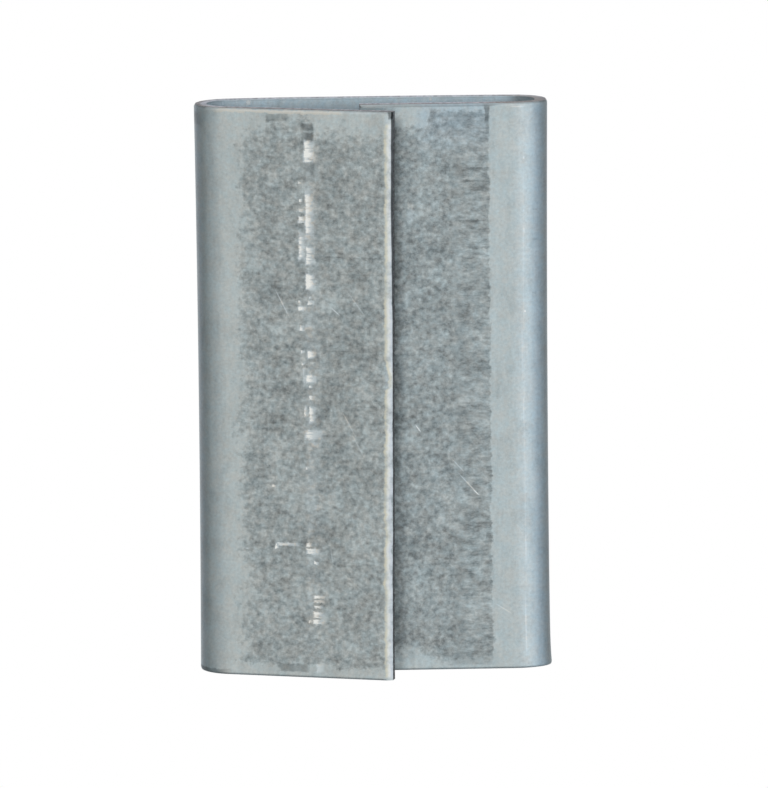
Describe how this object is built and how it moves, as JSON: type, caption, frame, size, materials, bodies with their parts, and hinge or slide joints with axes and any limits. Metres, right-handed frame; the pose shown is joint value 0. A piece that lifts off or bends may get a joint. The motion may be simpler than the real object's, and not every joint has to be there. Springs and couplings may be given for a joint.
{
  "type": "overlap strapping seal",
  "caption": "Closed overlap seal for steel strapping: a strip of zinc-coated sheet bent into a flattened open-ended sleeve, its outer flap lapping over its inner flap.",
  "frame": {"origin": "centre of the bounding box's base, in the plane of the lower cut end", "axes": "+Z along the strap that the seal joins, +X across the strap, and the lapped front faces -Y"},
  "size_m": [0.035, 0.0116, 0.0571],
  "materials": {
    "zinc_plated_steel": "dull blue-grey zinc plating, mottled by the forming dies, with burnished rub marks"
  },
  "bodies": {
    "root": {"seal_sleeve": "zinc_plated_steel"}
  },
  "joints": []
}
